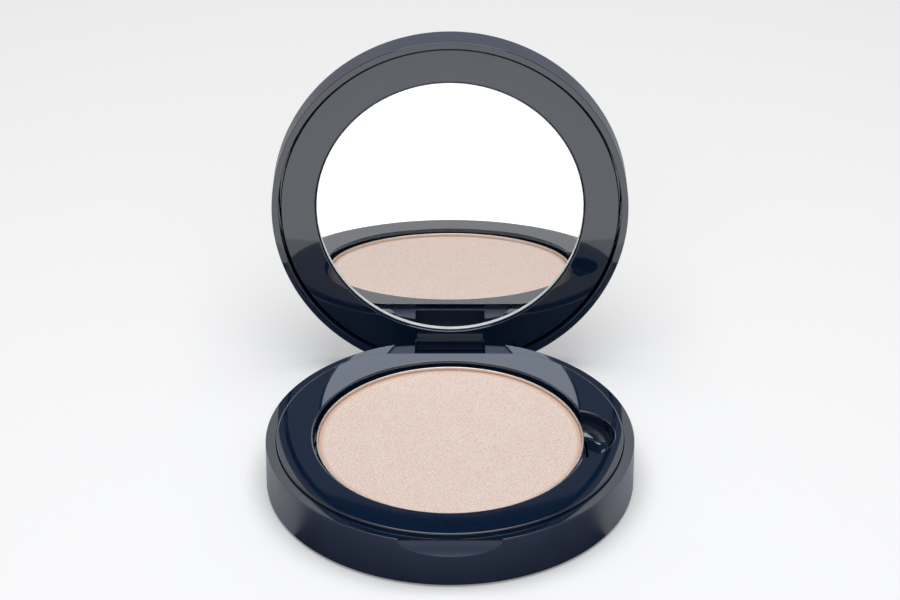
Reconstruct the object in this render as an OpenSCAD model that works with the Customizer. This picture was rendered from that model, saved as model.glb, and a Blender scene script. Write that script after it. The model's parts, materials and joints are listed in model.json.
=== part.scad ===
// Round powder compact: a low base with a lift-out pan of pressed powder,
// and a mirrored lid on a hinge at the back. Millimetres, +Z up.
// The origin is the middle of the underside, which stands on the table.
// The lid is drawn open, as the compact stands in use.

/* [Overall] */
// Outside diameter of the base and of the lid
compact_d = 80; // [76:1:100]
// Height of the base's land above the table
base_h = 11.2; // [11:0.1:15]
// Height of the lid from its rim to its outer face
lid_h = 7.8; // [7.2:0.1:11]
// How far the lid is opened, in degrees from shut
open_angle = 97.1; // [0:0.1:97.1]

/* [Base shell] */
// Height of the stand disc that lifts the base's edge off the table
foot_h = 0.4; // [0.3:0.05:0.8]
// Distance from the base's edge in to the stand disc
foot_inset = 3.5; // [2:0.1:6]
// Thickness of the base's floor
floor_t = 1.4; // [1.2:0.1:2]
// Width of the flat land round the raised frame
land_w = 2.3; // [1.8:0.1:3.5]
// Rounding of the outside bottom edge
base_edge_r = 0.5; // [0.3:0.1:1]
// Depth of the finger scoop at the front, measured inwards at the land
scoop_in = 1.6; // [1:0.1:2]
// Depth of the finger scoop down the wall
scoop_down = 3.4; // [2.5:0.1:5]
// Diameter of the label on the underside
label_d = 48; // [30:1:56]
// Thickness of the label and of the recess that holds it
label_t = 0.12; // [0.1:0.01:0.2]

/* [Raised frame] */
// Height of the frame's face above the land
frame_rise = 0.8; // [0.5:0.1:1.1]
// Thickness of the frame's face
frame_t = 1.3; // [1:0.1:2]
// Thickness of the frame's skirt and of the well's wall
frame_wall = 1.2; // [1:0.1:1.4]
// Thickness of the well's floor
well_floor_t = 1.2; // [0.8:0.1:1.6]
// Distance from the base's edge in to the frame's straight back
frame_back_inset = 7; // [6.8:0.1:9]
// Rounding of the frame's two back corners, seen from above
frame_corner_r = 11.8; // [8:0.1:14]
// Rounding of the frame's outer and well edges
frame_edge_r = 0.3; // [0.2:0.05:0.5]
// Radius of the thumb notch beside the pan
notch_r = 9.5; // [7:0.1:11]
// How far the thumb notch reaches past the well's edge
notch_reach = 5.9; // [4:0.1:6.5]
// Rounding between the thumb notch's wall and floor
notch_fillet = 3.2; // [1:0.1:4]
// Depth of the thumb notch below the frame's face
notch_depth = 5.1; // [4.5:0.1:5.4]

/* [Pan and powder] */
// Outside diameter of the pan
pan_d = 58; // [46:0.5:59]
// Height of the pan
pan_h = 4.5; // [3.5:0.1:5]
// Thickness of the pan's sheet
pan_t = 0.35; // [0.25:0.05:0.5]
// Rounding of the pan's bottom edge
pan_edge_r = 0.9; // [0.5:0.1:1.5]
// Depth of the pan's rim below the frame's face
pan_below = 1.05; // [0.9:0.05:1.2]
// Gap between the pan and the well's wall
pan_gap = 0.8; // [0.5:0.1:1.2]
// Depth of the powder's face below the pan's rim
powder_below = 0.6; // [0.2:0.05:1]
// Thickness of the foam pad under the pan
pad_t = 0.3; // [0.2:0.05:0.5]
// Diameter of the foam pad under the pan
pad_d = 36; // [20:1:44]

/* [Lid] */
// Width of the lid's rim face
rim_w = 1.55; // [1.3:0.05:2.2]
// Thickness of the lid's outer face
lid_t = 1.4; // [1.2:0.1:2]
// Rounding of the lid's outer edge
lid_edge_r = 0.6; // [0.3:0.1:1]
// Gap between the shut lid's rim and the land
shut_gap = 0.1; // [0.05:0.01:0.2]

/* [Mirror] */
// Diameter of the mirror
mirror_d = 60; // [50:0.5:61]
// Thickness of the mirror's glass
mirror_t = 1; // [0.8:0.1:2]
// Depth of the mirror's face below the mirror frame's face
mirror_below = 0.4; // [0.2:0.05:0.8]
// Gap round the mirror
mirror_gap = 0.25; // [0.15:0.05:0.4]
// Thickness of the foam tape behind the mirror
tape_t = 0.6; // [0.4:0.05:0.8]
// Distance from the mirror's edge in to the foam tape behind it
tape_inset = 3; // [1:0.5:12]
// Depth of the mirror frame's face below the lid's rim
bezel_below = 1.2; // [1.2:0.1:1.6]
// Thickness of the mirror frame's face
bezel_t = 1.4; // [1:0.1:1.8]
// Gap between the mirror frame and the lid's rim
bezel_gap = 0.45; // [0.3:0.05:0.6]

/* [Hinge] */
// Distance from the base's edge in to the hinge pin
hinge_inset = 3.25; // [3.2:0.05:3.6]
// Height of the hinge pin above the table
hinge_z = 4.6; // [4.6:0.05:5]
// Diameter of the hinge pin
pin_d = 1.6; // [1.2:0.1:2]
// Length of the hinge pin
pin_l = 24; // [20:0.5:26]
// Width of the slot in the base's back for the lid's hinge arm
slot_w = 15.8; // [12:0.1:17]
// Gap on each side of the hinge arm
arm_gap = 0.25; // [0.15:0.05:0.4]
// Gap between the hinge arm's knuckle and the front of its slot
knuckle_gap = 0.2; // [0.15:0.05:0.3]
// Thickness of the hinge arm
arm_t = 4.2; // [3.6:0.1:4.4]
// Distance from the lid's edge in to the flat behind the hinge
lid_flat_inset = 0.6; // [0.5:0.05:0.8]
// Thickness of the base's floor under the hinge arm
slot_floor_t = 1; // [0.8:0.1:1]
// Half width of the shallow relief in the land, at the frame
relief_w = 14.5; // [12:0.5:16]
// Depth of the relief in the land beside the hinge
relief_depth = 0.5; // [0.3:0.05:0.6]

/* [Hidden] */
$fn = 96;

// Slack that makes a cut pass clean through a face
eps = 0.5;
// Gap between pieces that are pushed together by hand
snug = 0.08;
// Radial play of the hinge pin in the lid's arm and in the base
arm_play = 0.05;
base_play = 0.02;
// The radial gap that keeps the powder from lying in the pan's own wall
cake_gap = 0.02;
// How far a corner's arc stands off the sides that it runs into
blend = 0.02;
// Lean of the relief's side from the frame out to the base's edge
relief_lean = 3;

outer_r = compact_d / 2;
floor_z = foot_h + floor_t;
shell_r = outer_r - land_w;
frame_r = shell_r - snug;
frame_z = base_h + frame_rise;
frame_back = outer_r - frame_back_inset;
post_front = frame_back + snug;
well_r = pan_d / 2 + pan_gap;
pan_z = frame_z - pan_below - pan_h;
well_z = pan_z - pad_t;
notch_x = well_r + notch_reach - notch_r;
hinge_y = outer_r - hinge_inset;
knuckle_r = hinge_inset - lid_flat_inset;
slot_front = hinge_y - knuckle_r - knuckle_gap;
slot_z = foot_h + slot_floor_t;
rim_z = base_h + shut_gap;
lid_top = rim_z + lid_h;
lid_under = lid_top - lid_t;
rim_r = outer_r - rim_w;
bezel_r = rim_r - bezel_gap;
bezel_z = rim_z + bezel_below;
mirror_z = bezel_z + mirror_below;
tape_z = mirror_z + mirror_t;
cup_z = tape_z + tape_t;
arm_w = slot_w - 2 * arm_gap;
lid_flat = outer_r - lid_flat_inset;
arm_front = lid_flat - arm_t;
// Radius about the pin inside which the base's back edge lets the lid's rim swing past
swing_r = base_h - hinge_z;

navy_satin = "#232B3D";
navy_gloss = "#14233A";
powder_pink = "#E4CFC3";

// Turns pieces drawn shut, about the hinge pin, to where the open lid stands
module opened() {
    translate([0, hinge_y, hinge_z]) rotate([-open_angle, 0, 0])
        translate([0, -hinge_y, -hinge_z]) children();
}

// A round plate from z to z + h
module disc(r, h, z) {
    translate([0, 0, z]) cylinder(r = r, h = h);
}

// A rod along X through the hinge's axis
module hinge_rod(r, l) {
    translate([0, hinge_y, hinge_z]) rotate([0, 90, 0]) cylinder(r = r, h = l, center = true);
}

// Points of a quarter circle about c, from angle a to a + 90
function quarter(c, r, a, steps = 10) =
    [for (i = [0:steps]) c + r * [cos(a + 90 * i / steps), sin(a + 90 * i / steps)]];

// Round blank whose top edge has a radius
module rounded_top(r, z0, z1, edge) {
    rotate_extrude() polygon(concat([[0, z0], [r, z0]], quarter([r - edge, z1 - edge], edge, 0), [[0, z1]]));
}

// Round blank whose bottom edge has a radius
module rounded_bottom(r, z0, z1, edge) {
    rotate_extrude() polygon(concat([[0, z1], [0, z0]], quarter([r - edge, z0 + edge], edge, -90), [[r, z1]]));
}

// Everything behind a line across the compact
module behind(y, z0, h) {
    translate([-outer_r - eps, y, z0]) cube([compact_d + 2 * eps, outer_r, h]);
}

// What is cut away outside the frame's two rounded back corners
module frame_corner_cuts() {
    cy = frame_back - frame_corner_r;
    cx = sqrt(pow(frame_r - frame_corner_r, 2) - pow(cy, 2));
    reach = 2 * frame_corner_r / frame_r;
    for (s = [-1, 1]) difference() {
        translate([0, 0, floor_z - eps]) linear_extrude(frame_z - floor_z + 2 * eps)
            polygon([[s * cx, cy], [s * cx, outer_r + eps], [s * cx * (1 + reach), outer_r + eps],
                     [s * cx * (1 + reach), cy * (1 + reach)]]);
        translate([s * cx, cy, floor_z - 2 * eps]) cylinder(r = frame_corner_r + blend, h = frame_z);
    }
}

// The well for the pan, with a rounded edge at the frame's face
module well() {
    edge = frame_edge_r;
    lip = quarter([well_r + edge, frame_z - edge], edge, 90);
    rotate_extrude() polygon(concat([[0, frame_z + eps], [well_r + edge, frame_z + eps]], lip,
                                    [[well_r, well_z], [0, well_z]]));
}

// The bowl of the thumb notch
module notch_bowl() {
    z0 = frame_z - notch_depth;
    translate([notch_x, 0, 0]) rotate_extrude()
        polygon(concat([[0, z0]], quarter([notch_r - notch_fillet, z0 + notch_fillet], notch_fillet, -90),
                       [[notch_r, frame_z + eps], [0, frame_z + eps]]));
}

// The finger scoop: a round groove across the front of the base's top edge
module scoop() {
    r = (scoop_in * scoop_in + scoop_down * scoop_down) / (2 * scoop_in);
    translate([0, scoop_in - outer_r - r, base_h]) rotate([0, 90, 0]) cylinder(r = r, h = outer_r, center = true);
}

// The shallow relief in the land on each side of the hinge arm
module hinge_relief() {
    translate([0, 0, base_h - relief_depth]) linear_extrude(relief_depth + eps)
        polygon([[-relief_w, post_front], [relief_w, post_front],
                 [relief_w - relief_lean, outer_r + eps], [relief_lean - relief_w, outer_r + eps]]);
}

// What the lid's rim sweeps over as it swings back past the base's rear edge
module swing_cut(r, w) {
    difference() {
        translate([-w, hinge_y, hinge_z]) cube([2 * w, outer_r, base_h]);
        hinge_rod(r, 2 * w + 2 * eps);
    }
}

module base_shell() {
    color(navy_satin) difference() {
        union() {
            disc(outer_r - foot_inset, foot_h + eps, 0);
            rounded_bottom(outer_r, foot_h, base_h, base_edge_r);
        }
        difference() {
            disc(shell_r, base_h, floor_z);
            behind(post_front, foot_h, base_h);
        }
        translate([-slot_w / 2, slot_front, slot_z]) cube([slot_w, outer_r, base_h]);
        hinge_relief();
        swing_cut(swing_r, outer_r);
        swing_cut(swing_r - relief_depth, relief_w - relief_lean);
        hinge_rod(pin_d / 2 + base_play, pin_l);
        translate([outer_r / 2, 0, 0]) hinge_rod(pin_d / 2 + base_play, outer_r);
        scoop();
        disc(label_d / 2 + snug, label_t + eps, -eps);
    }
}

module base_frame() {
    color(navy_gloss) difference() {
        rounded_top(frame_r, floor_z, frame_z, frame_edge_r);
        behind(frame_back, 0, 2 * frame_z);
        frame_corner_cuts();
        // the hollow under the face, round the well and the thumb notch
        difference() {
            disc(frame_r - frame_wall, frame_z - frame_t - floor_z + eps, floor_z - eps);
            behind(frame_back - frame_wall, 0, 2 * frame_z);
            disc(well_r + frame_wall, frame_z, well_z - well_floor_t);
            translate([notch_x, 0, 0]) disc(notch_r + frame_wall, frame_z, well_z - well_floor_t);
        }
        well();
        notch_bowl();
    }
}

module base_label() {
    color("silver") disc(label_d / 2, label_t, 0);
}

module pan_pad() {
    color("dimgray") disc(pad_d / 2, pad_t, well_z);
}

module powder_pan() {
    inner = pan_d / 2 - pan_t;
    color("silver") difference() {
        rounded_bottom(pan_d / 2, pan_z, pan_z + pan_h, pan_edge_r);
        rounded_bottom(inner, pan_z + pan_t, pan_z + pan_h + eps, pan_edge_r - pan_t);
    }
}

module pressed_powder() {
    color(powder_pink)
        rounded_bottom(pan_d / 2 - pan_t - cake_gap, pan_z + pan_t, pan_z + pan_h - powder_below,
                       pan_edge_r - pan_t + cake_gap);
}

module hinge_pin() {
    color("gray") hinge_rod(pin_d / 2, pin_l);
}

module lid_shell() {
    color(navy_satin) opened() difference() {
        union() {
            difference() {
                rounded_top(outer_r, rim_z, lid_top, lid_edge_r);
                disc(rim_r, lid_under - rim_z + eps, rim_z - eps);
            }
            // the hinge arm, from the lid's face down to the pin
            translate([-arm_w / 2, arm_front, hinge_z]) cube([arm_w, arm_t, lid_under - hinge_z]);
            hinge_rod(knuckle_r, arm_w);
        }
        behind(lid_flat, 0, 2 * lid_top);
        hinge_rod(pin_d / 2 + arm_play, compact_d);
        // keeps the arm's root inside the lid's round wall
        difference() {
            disc(compact_d, lid_h, rim_z);
            disc(outer_r, lid_h + 2 * eps, rim_z - eps);
        }
    }
}

module mirror_frame() {
    pocket_r = mirror_d / 2 + mirror_gap;
    color(navy_gloss) opened() difference() {
        union() {
            disc(bezel_r, bezel_t, bezel_z);
            disc(pocket_r + bezel_t, cup_z + bezel_t - bezel_z, bezel_z);
            difference() {
                disc(bezel_r, lid_under - bezel_z, bezel_z);
                disc(bezel_r - bezel_t, lid_h, bezel_z);
            }
        }
        disc(pocket_r, cup_z - bezel_z + eps, bezel_z - eps);
        // the notch that clears the root of the hinge arm
        translate([-arm_w / 2 - arm_gap, arm_front - arm_gap, rim_z])
            cube([arm_w + 2 * arm_gap, outer_r, lid_h]);
    }
}

module mirror() {
    color("white") opened() disc(mirror_d / 2, mirror_t, mirror_z);
}

module mirror_tape() {
    color("dimgray") opened() disc(mirror_d / 2 - tape_inset, tape_t, tape_z);
}

base_shell();
base_frame();
base_label();
pan_pad();
powder_pan();
pressed_powder();
hinge_pin();
lid_shell();
mirror_frame();
mirror();
mirror_tape();
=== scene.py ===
import bpy
import bmesh
import json
from math import hypot, pi, radians, sqrt
from mathutils import Matrix, Vector


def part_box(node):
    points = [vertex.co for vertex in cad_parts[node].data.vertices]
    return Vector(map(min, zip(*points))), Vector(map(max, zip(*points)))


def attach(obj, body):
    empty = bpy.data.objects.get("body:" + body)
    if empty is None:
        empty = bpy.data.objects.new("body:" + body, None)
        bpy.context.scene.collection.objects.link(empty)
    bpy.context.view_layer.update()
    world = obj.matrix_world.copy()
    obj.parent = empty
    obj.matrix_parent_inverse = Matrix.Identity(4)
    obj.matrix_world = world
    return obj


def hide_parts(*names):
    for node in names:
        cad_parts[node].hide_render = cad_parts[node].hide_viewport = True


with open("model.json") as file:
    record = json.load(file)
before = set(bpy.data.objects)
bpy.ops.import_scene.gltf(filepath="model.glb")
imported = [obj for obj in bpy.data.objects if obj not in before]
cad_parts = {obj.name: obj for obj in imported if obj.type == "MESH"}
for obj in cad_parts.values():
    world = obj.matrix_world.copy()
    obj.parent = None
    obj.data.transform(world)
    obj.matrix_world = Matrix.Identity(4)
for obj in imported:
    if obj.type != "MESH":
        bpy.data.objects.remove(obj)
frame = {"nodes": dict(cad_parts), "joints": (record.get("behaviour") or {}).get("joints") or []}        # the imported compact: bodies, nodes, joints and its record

# whatever else the file opened with goes, so that only the compact is measured
for leftOver in [thing for thing in bpy.data.objects if thing.type in ("LIGHT", "CAMERA")]:
    bpy.data.objects.remove(leftOver)
for leftOver in [thing for thing in bpy.data.objects if thing.type == "MESH"]:
    if leftOver.name not in frame["nodes"]:
        bpy.data.objects.remove(leftOver)
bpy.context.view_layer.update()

mm = 0.001
roundSides = 256      # facets on the compact's full circles

# the driving sizes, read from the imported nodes
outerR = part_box("base_shell")[1][0]
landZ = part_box("base_shell")[1][2]
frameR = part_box("base_frame")[1][0]
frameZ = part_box("base_frame")[1][2]
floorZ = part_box("base_frame")[0][2]
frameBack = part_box("base_frame")[1][1]
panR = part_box("powder_pan")[1][0]
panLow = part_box("powder_pan")[0][2]
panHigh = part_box("powder_pan")[1][2]
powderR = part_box("pressed_powder")[1][0]
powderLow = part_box("pressed_powder")[0][2]
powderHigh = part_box("pressed_powder")[1][2]
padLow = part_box("pan_pad")[0][2]
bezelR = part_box("mirror_frame")[1][0]
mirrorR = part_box("mirror")[1][0]
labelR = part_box("base_label")[1][0]
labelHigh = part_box("base_label")[1][2]
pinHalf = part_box("hinge_pin")[1][0]
lidJoint = [joint for joint in frame["joints"] if joint["name"] == "lid_hinge"][0]
hingeAt = Vector(lidJoint["pos_m"])
openAngle = radians(lidJoint["range_deg"][1])
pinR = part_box("hinge_pin")[1][2] - hingeAt.z


# ---- mesh work

def activate(piece):
    bpy.ops.object.select_all(action="DESELECT")
    piece.select_set(True)
    bpy.context.view_layer.objects.active = piece


def settle(piece):
    activate(piece)
    bpy.ops.object.transform_apply(location=True, rotation=True, scale=True)


def drum(name, radius, low, high, at=(0, 0), sides=roundSides):
    # an upright round blank
    bpy.ops.object.select_all(action="DESELECT")
    bpy.ops.mesh.primitive_cylinder_add(vertices=sides, radius=radius, depth=high - low,
                                        location=(at[0], at[1], (low + high) / 2))
    piece = bpy.context.object
    piece.name = name
    settle(piece)
    return piece


def rod(name, radius, low, high, at, sides=64):
    # a round bar along X, from low to high
    bpy.ops.object.select_all(action="DESELECT")
    bpy.ops.mesh.primitive_cylinder_add(vertices=sides, radius=radius, depth=high - low,
                                        location=((low + high) / 2, at[0], at[1]), rotation=(0, pi / 2, 0))
    piece = bpy.context.object
    piece.name = name
    settle(piece)
    return piece


def block(name, low, high):
    bpy.ops.object.select_all(action="DESELECT")
    middle = [(a + b) / 2 for a, b in zip(low, high)]
    bpy.ops.mesh.primitive_cube_add(size=1, location=middle, scale=[b - a for a, b in zip(low, high)])
    piece = bpy.context.object
    piece.name = name
    settle(piece)
    return piece


def pickFaces(piece, test):
    # edit mode: selects the faces whose middle and normal pass the test
    bpy.ops.mesh.select_mode(type="FACE")
    bpy.ops.mesh.select_all(action="DESELECT")
    mesh = bmesh.from_edit_mesh(piece.data)
    for face in mesh.faces:
        if test(face.calc_center_median(), face.normal):
            face.select_set(True)
    bmesh.update_edit_mesh(piece.data)


def pickEdges(piece, test):
    # edit mode: selects the edges whose two ends pass the test
    bpy.ops.mesh.select_mode(type="EDGE")
    bpy.ops.mesh.select_all(action="DESELECT")
    mesh = bmesh.from_edit_mesh(piece.data)
    for edge in mesh.edges:
        if test(edge.verts[0].co, edge.verts[1].co):
            edge.select_set(True)
    bmesh.update_edit_mesh(piece.data)


def near(a, b, slack=0.01 * mm):
    return abs(a - b) < slack


def pickCap(piece, z):
    # the flat face at height z that lies over the axis
    pickFaces(piece, lambda c, n: near(c.z, z) and abs(n.z) > 0.9 and hypot(c.x, c.y) < 1 * mm)


def insetAndPush(thickness, rise):
    if thickness:
        bpy.ops.mesh.inset(thickness=thickness)
    if rise:
        bpy.ops.mesh.extrude_region_move(TRANSFORM_OT_translate={"value": (0, 0, rise)})


def roundLoop(piece, radius, z, size, steps=4):
    # rounds the ring of edges at that radius and height
    def onRing(a, b):
        return all(near(v.z, z) and near(hypot(v.x, v.y), radius, 0.03 * mm) for v in (a, b))
    pickEdges(piece, onRing)
    bpy.ops.mesh.bevel(offset=size, segments=steps, affect="EDGES")


def carve(piece, cutter, operation="DIFFERENCE"):
    activate(piece)
    change = piece.modifiers.new("carve", "BOOLEAN")
    change.operation = operation
    change.solver = "EXACT"
    change.object = cutter
    bpy.ops.object.modifier_apply(modifier=change.name)
    bpy.data.objects.remove(cutter)


def softenEdges(piece, size, steps=3, sharper=40):
    # joins the slivers that cuts leave, then rounds every edge sharper than that angle
    activate(piece)
    bpy.ops.object.mode_set(mode="EDIT")
    bpy.ops.mesh.select_all(action="SELECT")
    bpy.ops.mesh.remove_doubles(threshold=0.02 * mm)
    bpy.ops.object.mode_set(mode="OBJECT")
    bevel = piece.modifiers.new("soft edges", "BEVEL")
    bevel.width = size
    bevel.segments = steps
    bevel.limit_method = "ANGLE"
    bevel.angle_limit = radians(sharper)
    bevel.use_clamp_overlap = False
    bpy.ops.object.modifier_apply(modifier=bevel.name)


def sliceOff(at, facing, fill=True):
    # edit mode: cuts the whole piece along a plane and clears what lies past it
    bpy.ops.mesh.select_all(action="SELECT")
    bpy.ops.mesh.bisect(plane_co=at, plane_no=facing, use_fill=fill, clear_outer=True,
                        threshold=0.001 * mm)


def smooth(piece, angle=35, edges=None):
    activate(piece)
    bpy.ops.object.shade_smooth_by_angle(angle=radians(angle))
    if edges:
        bpy.ops.object.mode_set(mode="EDIT")
        pickEdges(piece, edges)
        bpy.ops.mesh.mark_sharp()
        bpy.ops.object.mode_set(mode="OBJECT")
    weigh = piece.modifiers.new("even faces", "WEIGHTED_NORMAL")
    weigh.keep_sharp = True
    bpy.ops.object.modifier_apply(modifier=weigh.name)


def openUp(piece):
    # turns a piece that was modelled shut about the hinge pin, to where the open lid stands
    toPin = Matrix.Translation(hingeAt)
    piece.matrix_world = toPin @ Matrix.Rotation(-openAngle, 4, "X") @ toPin.inverted()
    settle(piece)


def paint(piece, finishes):
    # the first finish covers everything, each later one the faces that its test picks
    piece.data.materials.clear()
    for index, (finish, test) in enumerate(finishes):
        piece.data.materials.append(finish)
        for face in piece.data.polygons:
            if test is None or test(face.center, face.normal):
                face.material_index = index


# ---- finishes

def hexColour(code):
    # sRGB hex to the linear colour that a shader takes
    channels = [int(code[i:i + 2], 16) / 255 for i in (1, 3, 5)]
    return [c / 12.92 if c <= 0.04045 else ((c + 0.055) / 1.055) ** 2.4 for c in channels] + [1]


def addNode(tree, kind, settings, links=None):
    # adds a node, sets its sockets or properties by name or number, and links sockets into it
    node = tree.nodes.new("ShaderNode" + kind)
    for key, value in settings.items():
        if isinstance(key, int) or key in node.inputs:
            node.inputs[key].default_value = value
        else:
            setattr(node, key, value)
    for key, source in (links or {}).items():
        tree.links.new(source, node.inputs[key])
    return node


def newFinish(name, settings):
    # an empty material with one shader, and the piece's own coordinates in metres
    finish = bpy.data.materials.new(name)
    finish.use_nodes = True
    tree = finish.node_tree
    tree.nodes.clear()
    shader = addNode(tree, "BsdfPrincipled", settings)
    addNode(tree, "OutputMaterial", {}, {"Surface": shader.outputs["BSDF"]})
    place = addNode(tree, "TexCoord", {}).outputs["Object"]
    return finish, tree, shader, place


def polishedAbs():
    # ABS moulded against a polished steel tool and lacquered: sharp reflections that waver a little
    # where the wall sank as it cooled, over a deeper and slightly soft navy
    look = {"navy": "#0D2038", "navyDeep": "#0A1B31", "waver": 7.0, "wipe": 1.4, "sink": 0.05}
    lacquer = {"Roughness": 0.06, "IOR": 1.54, "Coat Weight": 1.0, "Coat Roughness": 0.015}
    finish, tree, shader, place = newFinish("lacquered ABS, navy", lacquer)
    waver = addNode(tree, "TexNoise", {"Scale": 1 / (look["waver"] * mm), "Detail": 1.0, "Roughness": 0.4},
                    {"Vector": place})
    wipe = addNode(tree, "TexNoise", {"Scale": 1 / (look["wipe"] * mm), "Detail": 4.0, "Roughness": 0.6},
                   {"Vector": place})
    tint = addNode(tree, "Mix",
                   {"data_type": "RGBA", 6: hexColour(look["navy"]), 7: hexColour(look["navyDeep"])},
                   {0: waver.outputs["Fac"]})
    haze = addNode(tree, "MapRange", {"To Min": 0.02, "To Max": 0.07}, {"Value": wipe.outputs["Fac"]})
    bump = addNode(tree, "Bump", {"Strength": 0.12, "Distance": look["sink"] * mm},
                   {"Height": waver.outputs["Fac"]})
    tree.links.new(tint.outputs[2], shader.inputs["Base Color"])
    tree.links.new(haze.outputs["Result"], shader.inputs["Roughness"])
    tree.links.new(bump.outputs["Normal"], shader.inputs["Normal"])
    return finish


def satinAbs():
    # ABS moulded against a spark-eroded tool: a fine even grain that spreads the highlights; the real
    # grain is about 0.05 mm, drawn at 0.22 mm so that it shows
    look = {"navy": "#1A2740", "navyWorn": "#222F49", "grain": 0.22, "grainDepth": 0.02, "cloud": 9.0}
    finish, tree, shader, place = newFinish("satin ABS, navy", {"Roughness": 0.42, "IOR": 1.54})
    grain = addNode(tree, "TexNoise", {"Scale": 1 / (look["grain"] * mm), "Detail": 2.0}, {"Vector": place})
    cloud = addNode(tree, "TexNoise", {"Scale": 1 / (look["cloud"] * mm), "Detail": 3.0}, {"Vector": place})
    tint = addNode(tree, "Mix",
                   {"data_type": "RGBA", 6: hexColour(look["navy"]), 7: hexColour(look["navyWorn"])},
                   {0: cloud.outputs["Fac"]})
    haze = addNode(tree, "MapRange", {"To Min": 0.36, "To Max": 0.48}, {"Value": cloud.outputs["Fac"]})
    bump = addNode(tree, "Bump", {"Strength": 0.25, "Distance": look["grainDepth"] * mm},
                   {"Height": grain.outputs["Fac"]})
    tree.links.new(tint.outputs[2], shader.inputs["Base Color"])
    tree.links.new(haze.outputs["Result"], shader.inputs["Roughness"])
    tree.links.new(bump.outputs["Normal"], shader.inputs["Normal"])
    return finish


def drawnAluminium():
    # aluminium sheet drawn into a cup: a soft silver, scuffed a little by the tool
    look = {"bright": "#F6F2EC", "scuffed": "#E4DED6", "scuff": 0.9}
    finish, tree, shader, place = newFinish("drawn aluminium", {"Metallic": 1.0, "Roughness": 0.3})
    scuff = addNode(tree, "TexNoise", {"Scale": 1 / (look["scuff"] * mm), "Detail": 4.0}, {"Vector": place})
    tint = addNode(tree, "Mix",
                   {"data_type": "RGBA", 6: hexColour(look["bright"]), 7: hexColour(look["scuffed"])},
                   {0: scuff.outputs["Fac"]})
    haze = addNode(tree, "MapRange", {"To Min": 0.22, "To Max": 0.4}, {"Value": scuff.outputs["Fac"]})
    tree.links.new(tint.outputs[2], shader.inputs["Base Color"])
    tree.links.new(haze.outputs["Result"], shader.inputs["Roughness"])
    return finish


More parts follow.
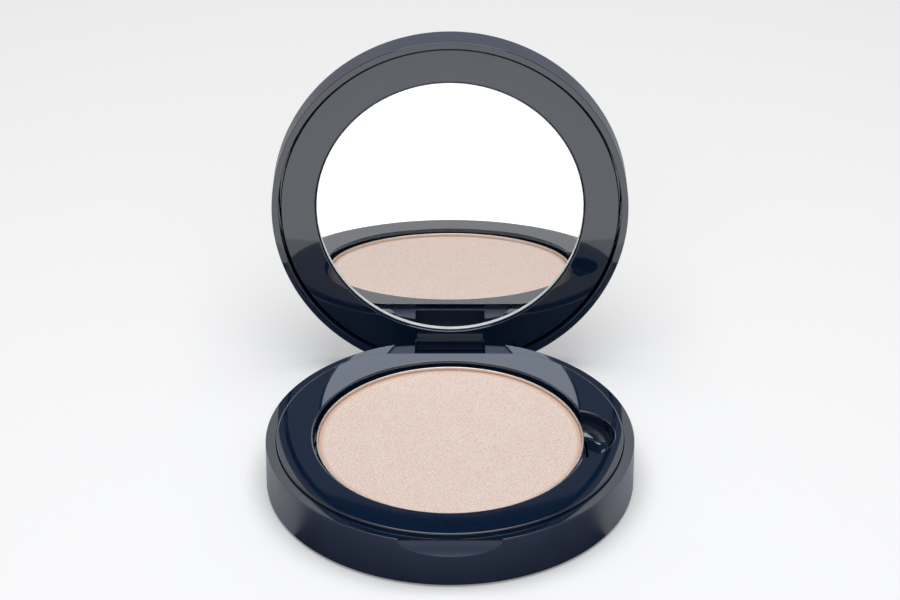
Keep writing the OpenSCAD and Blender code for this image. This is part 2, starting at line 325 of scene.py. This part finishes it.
def pressedPowder():
    # talc and mica pressed under a woven cloth: dead matt, with the cloth's threads in it, fine
    # lighter and darker grains, and a darker rim where the press squeezed it against the pan
    look = {"face": "#FFF1E9", "shade": "#F8E5DB", "pit": "#D6B5A4", "grainLight": "#FDF3EA",
            "grainDark": "#C99A7E", "rim": "#BC8058", "thread": 0.7, "weaveDepth": 0.09, "turn": 38,
            "grain": 0.32, "cloud": 6.0, "drift": 3.0, "driftBy": 0.35, "rimWide": 1.3, "rimFull": 0.1}
    finish, tree, shader, place = newFinish("pressed powder", {"Roughness": 0.95, "IOR": 1.45,
                                                               "Specular IOR Level": 0.15})
    cloud = addNode(tree, "TexNoise", {"Scale": 1 / (look["cloud"] * mm), "Detail": 3.0}, {"Vector": place})
    grain = addNode(tree, "TexNoise", {"Scale": 1 / (look["grain"] * mm), "Detail": 2.0}, {"Vector": place})
    drift = addNode(tree, "TexNoise", {"Scale": 1 / (look["drift"] * mm), "Detail": 1.0}, {"Vector": place})
    # threads run up and across, and drift a little as cloth does
    push = addNode(tree, "VectorMath", {"operation": "SCALE", "Scale": look["driftBy"] * mm},
                   {0: drift.outputs["Color"]})
    cloth = addNode(tree, "VectorMath", {"operation": "ADD"}, {0: place, 1: push.outputs["Vector"]})
    turned = addNode(tree, "Mapping", {"Rotation": (0, 0, radians(look["turn"]))},
                     {"Vector": cloth.outputs["Vector"]})
    threads = 2 * pi / (20 * look["thread"] * mm)      # a wave texture turns 20 radians for each unit
    along = addNode(tree, "TexWave", {"bands_direction": "X", "Scale": threads},
                    {"Vector": turned.outputs["Vector"]})
    across = addNode(tree, "TexWave", {"bands_direction": "Y", "Scale": threads},
                     {"Vector": turned.outputs["Vector"]})
    weave = addNode(tree, "Math", {"operation": "MULTIPLY"},
                    {0: along.outputs["Fac"], 1: across.outputs["Fac"]})
    rough = addNode(tree, "Math", {"operation": "ADD"}, {0: weave.outputs[0], 1: grain.outputs["Fac"]})
    base = addNode(tree, "Mix",
                   {"data_type": "RGBA", 6: hexColour(look["face"]), 7: hexColour(look["shade"])},
                   {0: cloud.outputs["Fac"]})
    lightBits = addNode(tree, "MapRange", {"From Min": 0.55, "From Max": 0.75, "To Max": 0.7},
                        {"Value": grain.outputs["Fac"]})
    darkBits = addNode(tree, "MapRange", {"From Min": 0.45, "From Max": 0.28, "To Max": 0.6},
                       {"Value": grain.outputs["Fac"]})
    # the hollows between the threads hold more shadow than their shape alone would give
    hollows = addNode(tree, "MapRange", {"To Min": 0.5, "To Max": 0.0}, {"Value": weave.outputs[0]})
    pitted = addNode(tree, "Mix", {"data_type": "RGBA", 7: hexColour(look["pit"])},
                     {0: hollows.outputs["Result"], 6: base.outputs[2]})
    lit = addNode(tree, "Mix", {"data_type": "RGBA", 7: hexColour(look["grainLight"])},
                  {0: lightBits.outputs["Result"], 6: pitted.outputs[2]})
    flecked = addNode(tree, "Mix", {"data_type": "RGBA", 7: hexColour(look["grainDark"])},
                      {0: darkBits.outputs["Result"], 6: lit.outputs[2]})
    # the rim colour comes in over the last millimetre
    flat = addNode(tree, "VectorMath", {"operation": "MULTIPLY", 1: (1, 1, 0)}, {0: place})
    reach = addNode(tree, "VectorMath", {"operation": "LENGTH"}, {0: flat.outputs["Vector"]})
    edge = addNode(tree, "MapRange", {"From Min": powderR - look["rimWide"] * mm,
                                      "From Max": powderR - look["rimFull"] * mm, "To Max": 1.2},
                   {"Value": reach.outputs["Value"]})
    crumbs = addNode(tree, "Math", {"operation": "MULTIPLY"},
                     {0: edge.outputs["Result"], 1: grain.outputs["Fac"]})
    rimmed = addNode(tree, "Mix", {"data_type": "RGBA", 7: hexColour(look["rim"])},
                     {0: crumbs.outputs[0], 6: flecked.outputs[2]})
    bump = addNode(tree, "Bump", {"Strength": 0.55, "Distance": look["weaveDepth"] * mm},
                   {"Height": rough.outputs[0]})
    tree.links.new(rimmed.outputs[2], shader.inputs["Base Color"])
    tree.links.new(bump.outputs["Normal"], shader.inputs["Normal"])
    return finish


def silvering():
    # the silver on the back of the glass, seen through it: near-perfect reflection
    finish, tree, shader, place = newFinish("silvered glass", {"Metallic": 1.0, "Roughness": 0.0})
    breath = addNode(tree, "TexNoise", {"Scale": 1 / (14 * mm), "Detail": 2.0}, {"Vector": place})
    tint = addNode(tree, "Mix", {"data_type": "RGBA", 6: hexColour("#F9FAFA"), 7: hexColour("#F4F6F6")},
                   {0: breath.outputs["Fac"]})
    tree.links.new(tint.outputs[2], shader.inputs["Base Color"])
    return finish


def groundEdge():
    # the mirror's rim, ground with a fine stone: frosted white glass
    finish, tree, shader, place = newFinish("ground glass edge", {"Roughness": 0.35, "IOR": 1.52})
    grit = addNode(tree, "TexNoise", {"Scale": 1 / (0.3 * mm), "Detail": 3.0}, {"Vector": place})
    tint = addNode(tree, "Mix", {"data_type": "RGBA", 6: hexColour("#F7FAFA"), 7: hexColour("#D5DDDD")},
                   {0: grit.outputs["Fac"]})
    tree.links.new(tint.outputs[2], shader.inputs["Base Color"])
    return finish


def backingPaint():
    # the grey paint that seals a mirror's back
    finish, tree, shader, place = newFinish("mirror backing paint", {"Roughness": 0.6})
    mottle = addNode(tree, "TexNoise", {"Scale": 1 / (2 * mm), "Detail": 3.0}, {"Vector": place})
    tint = addNode(tree, "Mix", {"data_type": "RGBA", 6: hexColour("#6E7276"), 7: hexColour("#5F6367")},
                   {0: mottle.outputs["Fac"]})
    tree.links.new(tint.outputs[2], shader.inputs["Base Color"])
    return finish


def drawnSteel():
    # bright drawn steel wire, with fine lines along its length
    finish, tree, shader, place = newFinish("drawn steel", {"Metallic": 1.0, "Roughness": 0.25})
    stretch = addNode(tree, "Mapping", {"Scale": (40, 1, 1)}, {"Vector": place})
    lines = addNode(tree, "TexNoise", {"Scale": 1 / (4 * mm), "Detail": 3.0},
                    {"Vector": stretch.outputs["Vector"]})
    tint = addNode(tree, "Mix", {"data_type": "RGBA", 6: hexColour("#C9CBCD"), 7: hexColour("#A9ACB0")},
                   {0: lines.outputs["Fac"]})
    tree.links.new(tint.outputs[2], shader.inputs["Base Color"])
    return finish


def labelPaper():
    # coated label paper with a silvery face: slightly soft shine and faint fibres, and one printed ring
    look = {"fibre": 0.6, "ringIn": 1.6, "ringHalf": 0.15}
    finish, tree, shader, place = newFinish("coated label paper", {"Roughness": 0.45, "IOR": 1.5})
    fibre = addNode(tree, "TexNoise", {"Scale": 1 / (look["fibre"] * mm), "Detail": 5.0, "Roughness": 0.7},
                    {"Vector": place})
    flat = addNode(tree, "VectorMath", {"operation": "MULTIPLY", 1: (1, 1, 0)}, {0: place})
    reach = addNode(tree, "VectorMath", {"operation": "LENGTH"}, {0: flat.outputs["Vector"]})
    inRing = addNode(tree, "Math", {"operation": "COMPARE", 1: labelR - look["ringIn"] * mm,
                                    2: look["ringHalf"] * mm}, {0: reach.outputs["Value"]})
    paper = addNode(tree, "Mix", {"data_type": "RGBA", 6: hexColour("#D9DADB"), 7: hexColour("#C6C8CA")},
                    {0: fibre.outputs["Fac"]})
    printed = addNode(tree, "Mix", {"data_type": "RGBA", 7: hexColour("#22304A")},
                      {0: inRing.outputs[0], 6: paper.outputs[2]})
    tree.links.new(printed.outputs[2], shader.inputs["Base Color"])
    return finish


def foamPad():
    # closed-cell foam tape: grey, matt, with small open cells on its cut face
    look = {"cell": 0.35, "cellDepth": 0.05}
    finish, tree, shader, place = newFinish("foam tape", {"Roughness": 0.95})
    cells = addNode(tree, "TexVoronoi", {"Scale": 1 / (look["cell"] * mm)}, {"Vector": place})
    tint = addNode(tree, "Mix", {"data_type": "RGBA", 6: hexColour("#4A4C50"), 7: hexColour("#6A6D72")},
                   {0: cells.outputs["Distance"]})
    bump = addNode(tree, "Bump", {"Strength": 0.5, "Distance": look["cellDepth"] * mm},
                   {"Height": cells.outputs["Distance"]})
    tree.links.new(tint.outputs[2], shader.inputs["Base Color"])
    tree.links.new(bump.outputs["Normal"], shader.inputs["Normal"])
    return finish


gloss = polishedAbs()
satin = satinAbs()
aluminium = drawnAluminium()
powderCake = pressedPowder()
silver = silvering()
glassEdge = groundEdge()
backing = backingPaint()
steel = drawnSteel()
paper = labelPaper()
foam = foamPad()
print("finishes made")


# ---- hinge sizes that the base and the lid share

hinge = {
    "slotWidth": 15.8 * mm,
    "armGap": 0.25 * mm,       # each side of the arm
    "armThick": 4.2 * mm,
    "flatInset": 0.6 * mm,     # the lid's flat behind the pin
    "knuckleGap": 0.2 * mm,
    "slotFloor": 1.0 * mm,
    "armPlay": 0.05 * mm,
    "basePlay": 0.02 * mm,
    "reliefWidth": 14.5 * mm,
    "reliefLean": 3 * mm,
    "reliefDepth": 0.5 * mm,
}
lidFlat = outerR - hinge["flatInset"]
knuckleR = lidFlat - hingeAt.y
armHalf = hinge["slotWidth"] / 2 - hinge["armGap"]
armFront = lidFlat - hinge["armThick"]
swingR = landZ - hingeAt.z
past = 2 * mm                  # how far a cutter runs past a face
justPast = 0.01 * mm           # or only just past it, where its own size matters


# ---- base shell

shell = {
    "footHeight": 0.4 * mm,
    "footInset": 3.5 * mm,
    "landWidth": 2.3 * mm,
    "bottomRound": 0.5 * mm,
    "scoopIn": 1.6 * mm,
    "scoopDown": 3.4 * mm,
    "postGap": 0.08 * mm,
    "labelGap": 0.08 * mm,
    "softEdge": 0.16 * mm,
    "satinWall": 2 * mm,          # the outer band that is satin
    "glossTop": 0.2 * mm,         # the gloss that stays at its top edge
}


def swingCore(radius):
    # the round about the pin that the lid's rim leaves standing
    return rod("swing core", radius, -outerR - past, outerR + past, (hingeAt.y, hingeAt.z), 192)


def swingCutter():
    # what the lid's rim sweeps over as it swings past the base's rear edge
    cutter = block("swing cutter", (-outerR, hingeAt.y, hingeAt.z), (outerR, outerR + past, landZ + past))
    carve(cutter, swingCore(swingR))
    return cutter


def reliefCutter():
    # the shallow relief in the land, narrower towards the back; it turns down round the pin as the land does
    cutter = block("relief cutter", (-hinge["reliefWidth"], frameBack + shell["postGap"], hingeAt.z),
                   (hinge["reliefWidth"], outerR + justPast, landZ + past))
    activate(cutter)
    bpy.ops.object.mode_set(mode="EDIT")
    pickFaces(cutter, lambda c, n: n.y > 0.9)
    squeeze = (hinge["reliefWidth"] - hinge["reliefLean"]) / hinge["reliefWidth"]
    bpy.ops.transform.resize(value=(squeeze, 1, 1), center_override=(0, outerR, landZ))
    bpy.ops.object.mode_set(mode="OBJECT")
    carve(cutter, block("relief floor", (-outerR, 0, 0), (outerR, hingeAt.y, landZ - hinge["reliefDepth"])))
    carve(cutter, swingCore(swingR - hinge["reliefDepth"]))
    return cutter


def bodyPocket(radius, back, low, high):
    # a round blank cut straight across at the back
    pocket = drum("pocket", radius, low, high)
    bpy.ops.object.mode_set(mode="EDIT")
    sliceOff((0, back, 0), (0, 1, 0))
    bpy.ops.object.mode_set(mode="OBJECT")
    return pocket


def scoopCutter():
    # a round groove across the front, rounded where it runs out at the land
    scoopR = (shell["scoopIn"] ** 2 + shell["scoopDown"] ** 2) / (2 * shell["scoopIn"])
    axisY = shell["scoopIn"] - outerR - scoopR
    return rod("scoop cutter", scoopR, -outerR / 2, outerR / 2, (axisY, landZ), 192)


def onScoopEdge(a, b):
    # the curved edge where the scoop leaves the wall, which has to stay crisp
    onWall = all(near(hypot(v.x, v.y), outerR) and v.y < 0 for v in (a, b))
    inBand = all(landZ - shell["scoopDown"] * 1.1 < v.z < landZ for v in (a, b))
    leaning = hypot(a.x - b.x, a.y - b.y) > 0.001 * mm
    return onWall and inBand and leaning


def makeBaseShell():
    footR = outerR - shell["footInset"]
    piece = drum("baseShellDetailed", outerR, shell["footHeight"], landZ)
    bpy.ops.object.mode_set(mode="EDIT")
    roundLoop(piece, outerR, shell["footHeight"], shell["bottomRound"], 5)
    pickCap(piece, shell["footHeight"])
    insetAndPush(outerR - shell["bottomRound"] - footR, -shell["footHeight"])
    bpy.ops.object.mode_set(mode="OBJECT")
    carve(piece, bodyPocket(outerR - shell["landWidth"], frameBack + shell["postGap"], floorZ, landZ + past))
    slotHalf = hinge["slotWidth"] / 2
    slotFront = hingeAt.y - knuckleR - hinge["knuckleGap"]
    slotLow = shell["footHeight"] + hinge["slotFloor"]
    carve(piece, block("slot cutter", (-slotHalf, slotFront, slotLow),
                       (slotHalf, outerR + past, landZ + past)))
    carve(piece, swingCutter())
    carve(piece, reliefCutter())
    boreR = pinR + hinge["basePlay"]
    carve(piece, rod("pin bore", boreR, -pinHalf, outerR + past, (hingeAt.y, hingeAt.z)))
    softenEdges(piece, shell["softEdge"])
    # the recess for the label is too shallow to round
    bpy.ops.object.mode_set(mode="EDIT")
    pickCap(piece, 0)
    insetAndPush(footR - shell["softEdge"] - labelR - shell["labelGap"], labelHigh)
    bpy.ops.object.mode_set(mode="OBJECT")
    carve(piece, scoopCutter())
    smooth(piece, edges=onScoopEdge)
    wall = outerR - shell["satinWall"]
    glossLow = landZ - shell["glossTop"]
    paint(piece, [(gloss, None),
                  (satin, lambda c, n: n.z < -0.5 or (hypot(c.x, c.y) > wall and c.z < glossLow)),
                  (satin, lambda c, n: c.y > frameBack and c.z < glossLow)])
    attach(piece, "base")
    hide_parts("base_shell")


makeBaseShell()
print("base shell made")


# ---- raised frame round the pan

deck = {
    "faceThick": 1.3 * mm,
    "wall": 1.2 * mm,
    "wellFloor": 1.2 * mm,
    "cornerRound": 11.8 * mm,
    "panGap": 0.8 * mm,
    "notchRadius": 9.5 * mm,
    "notchReach": 5.9 * mm,
    "notchDepth": 5.1 * mm,
    "notchFillet": 3.2 * mm,
    "softEdge": 0.3 * mm,
    "cornerOver": 0.02 * mm,      # keeps the corner's cut off the round body's own facets
}
wellR = panR + deck["panGap"]
notchX = wellR + deck["notchReach"] - deck["notchRadius"]


def cornerCutter(side):
    # takes off what lies outside the frame's rounded back corner
    cy = frameBack - deck["cornerRound"]
    cx = side * sqrt((frameR - deck["cornerRound"]) ** 2 - cy ** 2)
    cutter = block("corner cutter", (min(cx, side * outerR), 0, floorZ - past),
                   (max(cx, side * outerR), outerR, frameZ + past))
    activate(cutter)
    bpy.ops.object.mode_set(mode="EDIT")
    # only behind the line from the axis through the corner's centre
    sliceOff((0, 0, 0), (side * cy, -side * cx, 0))
    bpy.ops.object.mode_set(mode="OBJECT")
    coreR = deck["cornerRound"] + deck["cornerOver"]
    carve(cutter, drum("corner core", coreR, floorZ - 2 * past, frameZ + 2 * past, (cx, cy), 192))
    return cutter


def notchBowl():
    # the thumb notch beside the pan, with a generous round between its wall and floor
    low = frameZ - deck["notchDepth"]
    bowl = drum("notch bowl", deck["notchRadius"], low, frameZ + past, (notchX, 0), 160)
    bpy.ops.object.mode_set(mode="EDIT")
    pickEdges(bowl, lambda a, b: near(a.z, low) and near(b.z, low))
    bpy.ops.mesh.bevel(offset=deck["notchFillet"], segments=10, affect="EDGES")
    bpy.ops.object.mode_set(mode="OBJECT")
    return bowl


def hollowCutter():
    # the hollow under the frame's face, outside the well and the notch
    faceLow = frameZ - deck["faceThick"]
    cutter = bodyPocket(frameR - deck["wall"], frameBack - deck["wall"], floorZ - past, faceLow)
    keep = padLow - deck["wellFloor"]
    carve(cutter, drum("well keep", wellR + deck["wall"], keep, frameZ + past))
    notchKeep = deck["notchRadius"] + deck["wall"]
    carve(cutter, drum("notch keep", notchKeep, keep, frameZ + past, (notchX, 0), 160))
    return cutter


def makeBaseFrame():
    piece = bodyPocket(frameR, frameBack, floorZ, frameZ)
    piece.name = "baseFrameDetailed"
    for side in (-1, 1):
        carve(piece, cornerCutter(side))
    carve(piece, hollowCutter())
    carve(piece, drum("well cutter", wellR, padLow, frameZ + past))
    carve(piece, notchBowl())
    softenEdges(piece, deck["softEdge"])
    smooth(piece)
    paint(piece, [(gloss, None)])
    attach(piece, "base")
    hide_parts("base_frame")


makeBaseFrame()
print("raised frame made")


# ---- pan and powder

pan = {
    "sheet": 0.35 * mm,
    "bottomRound": 0.9 * mm,
    "rimRound": 0.1 * mm,
}


def makePan():
    piece = drum("powderPanDetailed", panR, panLow, panHigh)
    bpy.ops.object.mode_set(mode="EDIT")
    pickCap(piece, panHigh)
    insetAndPush(pan["sheet"], panLow + pan["sheet"] - panHigh)
    roundLoop(piece, panR, panLow, pan["bottomRound"], 6)
    roundLoop(piece, panR - pan["sheet"], panLow + pan["sheet"], pan["bottomRound"] - pan["sheet"], 5)
    roundLoop(piece, panR, panHigh, pan["rimRound"], 3)
    roundLoop(piece, panR - pan["sheet"], panHigh, pan["rimRound"], 3)
    bpy.ops.object.mode_set(mode="OBJECT")
    smooth(piece)
    paint(piece, [(aluminium, None)])
    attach(piece, "refill")
    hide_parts("powder_pan")


makePan()

cake = {
    "edgeRound": 0.18 * mm,
    "bottomRound": 0.57 * mm,
    "firstRing": 0.3 * mm,
    "ringGrowth": 1.06,
    "widestRing": 1.2 * mm,
    "centre": 1.5 * mm,
    "crumble": 0.05 * mm,
    "crumbSize": 0.9 * mm,
    "crumbBand": 0.9 * mm,
}


def makePowder():
    piece = drum("pressedPowderDetailed", powderR, powderLow, powderHigh)
    bpy.ops.object.mode_set(mode="EDIT")
    roundLoop(piece, powderR, powderLow, cake["bottomRound"], 5)
    roundLoop(piece, powderR, powderHigh, cake["edgeRound"], 3)
    # rings of faces across the cake, close together at its edge, so that its face can be uneven
    pickCap(piece, powderHigh)
    reached = powderR - cake["edgeRound"]
    step = cake["firstRing"]
    while reached - step > cake["centre"]:
        bpy.ops.mesh.inset(thickness=step)
        reached -= step
        step = min(step * cake["ringGrowth"], cake["widestRing"])
    bpy.ops.mesh.poke()
    bpy.ops.object.mode_set(mode="OBJECT")
    # the face is a little uneven, as the press leaves it, and its edge is crumbled
    grit = bpy.data.textures.new("crumble", "CLOUDS")
    grit.noise_scale = cake["crumbSize"]
    grit.noise_depth = 2
    band = piece.vertex_groups.new(name="face")
    for vertex in piece.data.vertices:
        reach = hypot(vertex.co.x, vertex.co.y)
        if vertex.co.z > powderHigh - cake["edgeRound"] * 1.1:
            atEdge = max(0, 1 - (powderR - reach) / cake["crumbBand"])
            band.add([vertex.index], 0.15 + 0.85 * atEdge, "REPLACE")
    activate(piece)
    uneven = piece.modifiers.new("uneven", "DISPLACE")
    uneven.texture = grit
    uneven.texture_coords = "LOCAL"
    uneven.direction = "Z"
    uneven.vertex_group = "face"
    uneven.strength = -2 * cake["crumble"]
    uneven.mid_level = 0.0
    bpy.ops.object.modifier_apply(modifier=uneven.name)
    smooth(piece, 60)
    paint(piece, [(powderCake, None)])
    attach(piece, "refill")
    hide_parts("pressed_powder")


makePowder()
print("pan and powder made")


# ---- lid, modelled shut and then opened

lid = {
    "shutGap": 0.1 * mm,
    "height": 7.8 * mm,
    "faceThick": 1.4 * mm,
    "rimWidth": 1.55 * mm,
    "edgeRound": 0.6 * mm,
    "softEdge": 0.16 * mm,
    "armBite": 0.2 * mm,          # how far the arm runs into the lid's face
    "glossRim": 0.12 * mm,        # the satin stops this far short of the rim
    "satinWall": 0.3 * mm,
    "satinTop": 0.5 * mm,
    "satinBack": 0.05 * mm,
}
rimZ = landZ + lid["shutGap"]
lidTop = rimZ + lid["height"]
lidUnder = lidTop - lid["faceThick"]


def onLidOutside(c, n):
    onSide = hypot(c.x, c.y) > outerR - lid["satinWall"]
    onTop = c.z > lidUnder + lid["satinTop"]
    onFlat = c.y > lidFlat - lid["satinBack"]
    return c.z > rimZ + lid["glossRim"] and (onSide or onTop or onFlat)


def makeLidShell():
    piece = drum("lidShellDetailed", outerR, rimZ, lidTop)
    bpy.ops.object.mode_set(mode="EDIT")
    roundLoop(piece, outerR, lidTop, lid["edgeRound"], 6)
    pickCap(piece, rimZ)
    insetAndPush(lid["rimWidth"], lidUnder - rimZ)
    sliceOff((0, lidFlat, 0), (0, 1, 0))
    bpy.ops.object.mode_set(mode="OBJECT")
    # the hinge arm and its knuckle
    arm = block("hinge arm", (-armHalf, armFront, hingeAt.z), (armHalf, lidFlat, lidUnder + lid["armBite"]))
    carve(arm, rod("knuckle", knuckleR, -armHalf, armHalf, (hingeAt.y, hingeAt.z), 96), "UNION")
    carve(piece, arm, "UNION")
    carve(piece, rod("arm bore", pinR + hinge["armPlay"], -outerR, outerR, (hingeAt.y, hingeAt.z)))
    softenEdges(piece, lid["softEdge"])
    smooth(piece)
    paint(piece, [(gloss, None), (satin, onLidOutside)])
    openUp(piece)
    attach(piece, "lid")
    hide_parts("lid_shell")


makeLidShell()
print("lid shell made")


# ---- mirror frame and mirror, also modelled shut

bezel = {
    "below": 1.2 * mm,
    "thick": 1.4 * mm,
    "pocketGap": 0.25 * mm,
    "softEdge": 0.28 * mm,
    "mirrorBelow": 0.4 * mm,
    "mirrorThick": 1.0 * mm,
    "tapeThick": 0.6 * mm,
}
bezelZ = rimZ + bezel["below"]
mirrorZ = bezelZ + bezel["mirrorBelow"]
cupZ = mirrorZ + bezel["mirrorThick"] + bezel["tapeThick"]


def makeMirrorFrame():
    pocketR = mirrorR + bezel["pocketGap"]
    piece = drum("mirrorFrameDetailed", bezelR, bezelZ, lidUnder)
    bpy.ops.object.mode_set(mode="EDIT")
    pickCap(piece, bezelZ)
    insetAndPush(bezelR - pocketR, cupZ - bezelZ)
    # behind the face: a skirt round the edge and the back of the mirror's cup
    pickCap(piece, lidUnder)
    insetAndPush(bezel["thick"], bezelZ + bezel["thick"] - lidUnder)
    insetAndPush(bezelR - bezel["thick"] * 2 - pocketR, cupZ - bezelZ)
    bpy.ops.object.mode_set(mode="OBJECT")
    notchHalf = armHalf + hinge["armGap"]
    notchFront = armFront - hinge["armGap"]
    carve(piece, block("arm notch", (-notchHalf, notchFront, rimZ), (notchHalf, outerR, lidTop)))
    softenEdges(piece, bezel["softEdge"])
    smooth(piece)
    paint(piece, [(gloss, None)])
    openUp(piece)
    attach(piece, "lid")
    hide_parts("mirror_frame")


makeMirrorFrame()

glass = {
    "index": 1.52,
    "edge": 0.12 * mm,
    "arris": 0.06 * mm,
}


def makeMirror():
    # seen through the glass, the silver looks as deep as the thickness over the index
    silverZ = mirrorZ + bezel["mirrorThick"] / glass["index"]
    piece = drum("mirrorDetailed", mirrorR, mirrorZ, mirrorZ + bezel["mirrorThick"])
    bpy.ops.object.mode_set(mode="EDIT")
    pickCap(piece, mirrorZ)
    insetAndPush(glass["edge"], silverZ - mirrorZ)
    roundLoop(piece, mirrorR, mirrorZ, glass["arris"], 2)
    roundLoop(piece, mirrorR, mirrorZ + bezel["mirrorThick"], glass["arris"], 2)
    bpy.ops.object.mode_set(mode="OBJECT")
    smooth(piece)
    paint(piece, [(glassEdge, None),
                  (silver, lambda c, n: near(c.z, silverZ) and n.z < -0.9),
                  (backing, lambda c, n: n.z > 0.9)])
    openUp(piece)
    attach(piece, "lid")
    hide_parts("mirror")


makeMirror()
print("mirror and its frame made")


# ---- hinge pin and label

trim = {
    "pinChamfer": 0.2 * mm,
    "labelRound": 0.04 * mm,
}


def makePin():
    piece = rod("hingePinDetailed", pinR, -pinHalf, pinHalf, (hingeAt.y, hingeAt.z), 64)
    bpy.ops.object.mode_set(mode="EDIT")
    pickEdges(piece, lambda a, b: near(abs(a.x), pinHalf) and near(a.x, b.x))
    bpy.ops.mesh.bevel(offset=trim["pinChamfer"], segments=2, affect="EDGES")
    bpy.ops.object.mode_set(mode="OBJECT")
    smooth(piece)
    paint(piece, [(steel, None)])
    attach(piece, "base")
    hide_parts("hinge_pin")


def makeLabel():
    piece = drum("baseLabelDetailed", labelR, 0, labelHigh, sides=192)
    bpy.ops.object.mode_set(mode="EDIT")
    roundLoop(piece, labelR, 0, trim["labelRound"], 2)
    bpy.ops.object.mode_set(mode="OBJECT")
    smooth(piece)
    paint(piece, [(paper, None)])
    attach(piece, "base")
    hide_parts("base_label")


makePin()
makeLabel()
for hiddenPad in ("pan_pad", "mirror_tape"):
    frame["nodes"][hiddenPad].data.materials.clear()
    frame["nodes"][hiddenPad].data.materials.append(foam)
print("pin, label and pads made")


# ---- studio

studio = {
    "cameraAt": (0, -0.662, 0.4495),
    "cameraDown": 31.36,          # degrees below level
    "lens": 146.3,
    "floor": "#F1F1F1",
    # the sheet of painted shade round the front of the base, seen only in reflections
    "floorShadeSheet": {"outer": 0.061, "back": -0.022},
    "topBox": {"at": (0, 0.0, 0.7), "size": (0.6, 0.6), "radiance": 3.2},
    "frontPanel": {"at": (0, -0.357, 0.393), "size": (0.5, 0.185), "radiance": 1.25,
                   "tint": (0.88, 0.95, 1.1)},
    "floorCard": {"at": (0, -0.205, 0.001), "size": (0.5, 0.29), "radiance": 0.45},
}


def softLamp(name, place, towards):
    # an even rectangular lamp of that radiance, out of the camera's own sight
    bpy.ops.object.light_add(type="AREA", location=place["at"])
    lamp = bpy.context.object
    lamp.name = name
    lamp.data.shape = "RECTANGLE"
    lamp.data.size = place["size"][0]
    lamp.data.size_y = place["size"][1]
    lamp.data.energy = place["radiance"] * pi * place["size"][0] * place["size"][1]
    lamp.rotation_euler = (Vector(towards) - Vector(place["at"])).to_track_quat("-Z", "Y").to_euler()
    lamp.data.color = place.get("tint", (1, 1, 1))
    lamp.visible_camera = False
    return lamp


def paleFloor():
    bpy.ops.object.select_all(action="DESELECT")
    bpy.ops.mesh.primitive_plane_add(size=3, location=(0, 0, 0))
    piece = bpy.context.object
    piece.name = "paleFloor"
    board = {"Roughness": 0.9, "Base Color": hexColour(studio["floor"])}
    finish, tree, shader, place = newFinish("painted board", board)
    sight = addNode(tree, "LightPath", {})
    seen = addNode(tree, "Math", {"operation": "MAXIMUM"},
                   {0: sight.outputs["Is Camera Ray"], 1: sight.outputs["Is Glossy Ray"]})
    through = addNode(tree, "Math", {"operation": "MAXIMUM"},
                      {0: seen.outputs[0], 1: sight.outputs["Is Transmission Ray"]})
    glow = addNode(tree, "Math", {"operation": "MULTIPLY", 1: 0.18}, {0: through.outputs[0]})
    shader.inputs["Emission Color"].default_value = (1, 1, 1, 1)
    tree.links.new(glow.outputs[0], shader.inputs["Emission Strength"])
    piece.data.materials.append(finish)


def darkFlag():
    # painted shade: a black sheet lying round the front of the base, seen only in reflections, that stands
    # in for the shade on the floor just in front of the base and keeps the satin wall deep
    bpy.ops.object.select_all(action="DESELECT")
    bpy.ops.mesh.primitive_circle_add(vertices=96, radius=studio["floorShadeSheet"]["outer"], fill_type="NGON",
                                      location=(0, 0, 0.0005))
    piece = bpy.context.object
    piece.name = "darkFlag"
    settle(piece)
    bpy.ops.object.mode_set(mode="EDIT")
    sliceOff((0, studio["floorShadeSheet"]["back"], 0), (0, 1, 0), fill=False)
    bpy.ops.object.mode_set(mode="OBJECT")
    # painted shade: near black, so that the floor in front of the base reflects dark
    shadeSheetLook = {"Roughness": 0.9, "Base Color": hexColour("#101114")}
    piece.data.materials.append(newFinish("painted floor shade sheet", shadeSheetLook)[0])
    for sight in ("camera", "diffuse", "transmission", "volume_scatter", "shadow"):
        setattr(piece, "visible_" + sight, False)


def studioWorld():
    world = bpy.data.worlds.new("studio")
    bpy.context.scene.world = world
    world.use_nodes = True
    tree = world.node_tree
    tree.nodes.clear()
    # low down the room is pale all round, and overhead it is dark past the lamps
    direction = addNode(tree, "TexCoord", {}).outputs["Generated"]
    parts = addNode(tree, "SeparateXYZ", {}, {0: direction})
    height = addNode(tree, "MapRange", {"From Min": 0.6, "From Max": 0.78, "To Min": 0.7, "To Max": 0.1},
                     {"Value": parts.outputs["Z"]})
    lowFront = addNode(tree, "MapRange", {"From Min": 0.42, "From Max": 0.55, "To Min": 0.5, "To Max": 0.06},
                       {"Value": parts.outputs["Z"]})
    behind = addNode(tree, "MapRange", {"From Min": -0.2, "From Max": 0.2}, {"Value": parts.outputs["Y"]})
    seen = addNode(tree, "Mix", {}, {0: behind.outputs["Result"], 2: lowFront.outputs["Result"],
                                     3: height.outputs["Result"]})
    sight = addNode(tree, "LightPath", {})
    glossy = addNode(tree, "Mix", {2: 0.2}, {0: sight.outputs["Is Glossy Ray"], 3: seen.outputs[0]})
    level = addNode(tree, "Mix", {3: 0.9}, {0: sight.outputs["Is Camera Ray"], 2: glossy.outputs[0]})
    sky = addNode(tree, "Background", {"Color": (1, 1, 1, 1)}, {"Strength": level.outputs[0]})
    addNode(tree, "OutputWorld", {}, {"Surface": sky.outputs[0]})


def addCamera():
    tilt = radians(90 - studio["cameraDown"])
    bpy.ops.object.camera_add(location=studio["cameraAt"], rotation=(tilt, 0, 0))
    camera = bpy.context.object
    camera.data.lens = studio["lens"]
    camera.data.sensor_width = 36
    bpy.context.scene.camera = camera


paleFloor()
# painted shade on the floor in front of the base, seen only in reflections
darkFlag()
studioWorld()
softLamp("top softbox", studio["topBox"], (0, 0, 0))
softLamp("front panel", studio["frontPanel"], (0, 0, 0.03))
softLamp("floor card", studio["floorCard"], (0, -0.205, 1))
addCamera()
bpy.context.scene.view_settings.view_transform = "Standard"
print("studio made")
